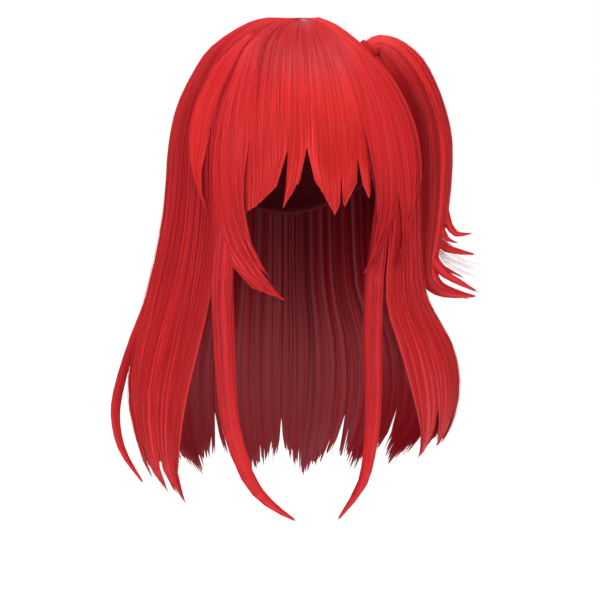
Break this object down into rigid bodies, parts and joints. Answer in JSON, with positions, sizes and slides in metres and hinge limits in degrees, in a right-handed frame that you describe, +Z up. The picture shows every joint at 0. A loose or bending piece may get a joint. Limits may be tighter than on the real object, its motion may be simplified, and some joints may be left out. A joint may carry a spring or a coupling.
{
  "type": "costume wig",
  "caption": "Long straight red costume wig on a net cap, with a pointed fringe, face-framing locks, long sidelocks and a side ponytail with flicked ends; worn on a head.",
  "frame": {"origin": "crown of the wearer's head, at the inside top of the cap", "axes": "+Z up, -Y the way the face looks, +X the wearer's left"},
  "size_m": [0.3071, 0.2282, 0.4064],
  "materials": {
    "net": "stretch net with sewn wefts",
    "scalp": "smooth woven scalp patch",
    "hair": "straight sleek synthetic fibre",
    "tie": "plain elastic band"
  },
  "bodies": {
    "root": {"wig_cap": "net", "parting_patch": "scalp", "fringe": "hair", "back_hair": "hair", "side_hair_right": "hair", "side_hair_left": "hair", "face_lock_right": "hair", "face_lock_left": "hair", "temple_lock_right": "hair", "temple_lock_left": "hair", "sidelock_right": "hair", "sidelock_left": "hair", "ponytail": "hair", "ponytail_tie": "tie"}
  },
  "joints": []
}
